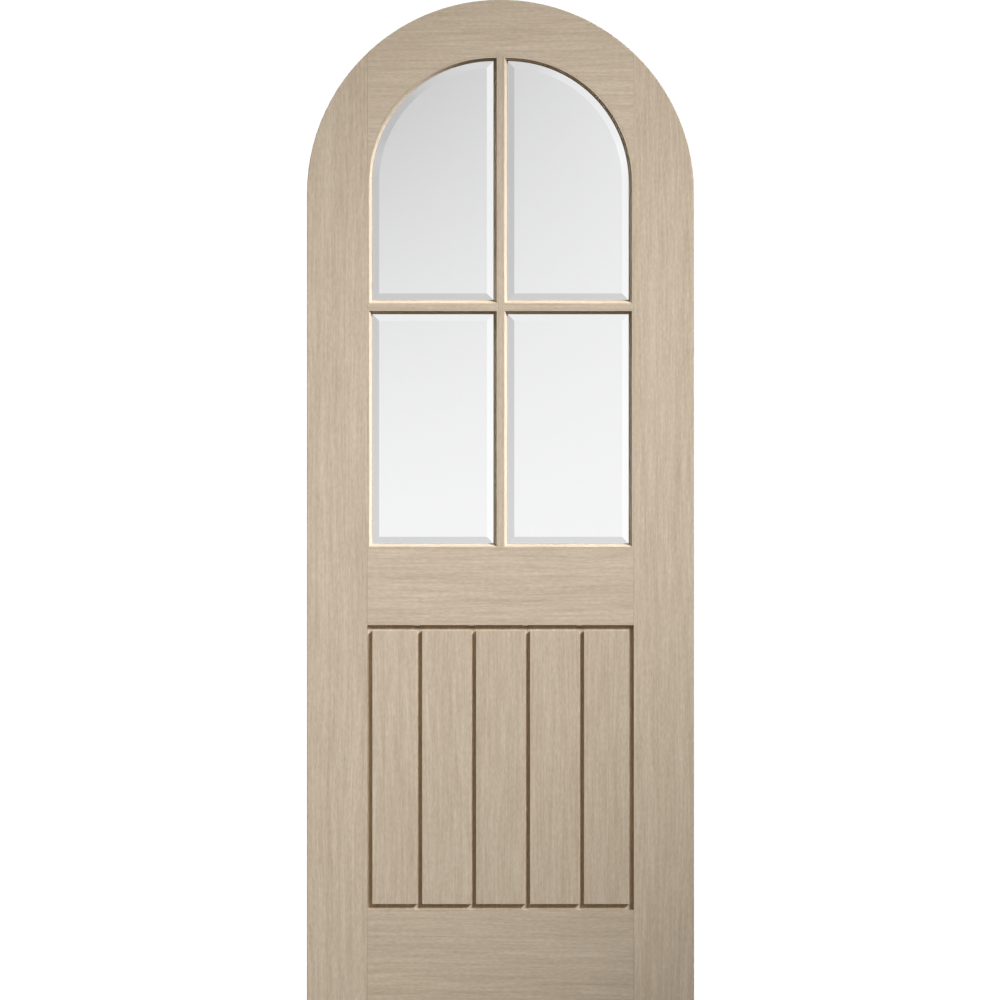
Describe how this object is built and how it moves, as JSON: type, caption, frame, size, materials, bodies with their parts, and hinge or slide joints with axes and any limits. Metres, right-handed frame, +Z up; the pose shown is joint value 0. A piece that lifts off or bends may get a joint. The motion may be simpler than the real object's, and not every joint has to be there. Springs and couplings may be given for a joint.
{
  "type": "arched wooden door",
  "caption": "Arched oak door leaf: stiles and rails with a semicircular head, bevelled glazed lights held by mitred beads above, and a flush boarded panel below.",
  "frame": {"origin": "middle of the bottom edge, on the leaf's mid-plane", "axes": "+X to the right seen from the front, +Z up the leaf, -Y out of the front face, the one whose glass is bevelled"},
  "size_m": [0.762, 0.035, 1.981],
  "materials": {
    "oak_frame": "pale limed oak with fine straight grain, satin lacquer",
    "oak_boards": "pale limed oak a shade darker, grain running upright, satin lacquer",
    "oak_beads": "moulded pale oak, satin lacquer",
    "bevelled_glass": "clear toughened glass, polished bevel on the front",
    "glazing_seal": "matt beige glazing tape and bedding",
    "beech_dowels": "plain beech",
    "pin_steel": "bright drawn wire",
    "setting_blocks": "matt hard rubber"
  },
  "bodies": {
    "root": {"left_stile": "oak_frame", "right_stile": "oak_frame", "head_rail": "oak_frame", "lock_rail": "oak_frame", "bottom_rail": "oak_frame", "vertical_glazing_bar": "oak_frame", "horizontal_glazing_bar": "oak_frame", "board_1": "oak_boards", "board_2": "oak_boards", "board_3": "oak_boards", "board_4": "oak_boards", "board_5": "oak_boards", "glass_upper_left": "bevelled_glass", "glass_upper_right": "bevelled_glass", "glass_lower_left": "bevelled_glass", "glass_lower_right": "bevelled_glass", "seal_upper_left": "glazing_seal", "seal_upper_right": "glazing_seal", "seal_lower_left": "glazing_seal", "seal_lower_right": "glazing_seal", "front_bead_upper_left_bottom": "oak_beads", "front_bead_upper_left_outer": "oak_beads", "front_bead_upper_left_arch": "oak_beads", "front_bead_upper_left_inner": "oak_beads", "front_bead_upper_right_bottom": "oak_beads", "front_bead_upper_right_outer": "oak_beads", "front_bead_upper_right_arch": "oak_beads", "front_bead_upper_right_inner": "oak_beads", "front_bead_lower_left_bottom": "oak_beads", "front_bead_lower_left_outer": "oak_beads", "front_bead_lower_left_top": "oak_beads", "front_bead_lower_left_inner": "oak_beads", "front_bead_lower_right_bottom": "oak_beads", "front_bead_lower_right_outer": "oak_beads", "front_bead_lower_right_top": "oak_beads", "front_bead_lower_right_inner": "oak_beads", "back_bead_upper_left_bottom": "oak_beads", "back_bead_upper_left_outer": "oak_beads", "back_bead_upper_left_arch": "oak_beads", "back_bead_upper_left_inner": "oak_beads", "back_bead_upper_right_bottom": "oak_beads", "back_bead_upper_right_outer": "oak_beads", "back_bead_upper_right_arch": "oak_beads", "back_bead_upper_right_inner": "oak_beads", "back_bead_lower_left_bottom": "oak_beads", "back_bead_lower_left_outer": "oak_beads", "back_bead_lower_left_top": "oak_beads", "back_bead_lower_left_inner": "oak_beads", "back_bead_lower_right_bottom": "oak_beads", "back_bead_lower_right_outer": "oak_beads", "back_bead_lower_right_top": "oak_beads", "back_bead_lower_right_inner": "oak_beads", "head_rail_dowels": "beech_dowels", "lock_rail_dowels": "beech_dowels", "bottom_rail_dowels": "beech_dowels", "bead_pins": "pin_steel", "glass_setting_blocks": "setting_blocks"}
  },
  "joints": []
}
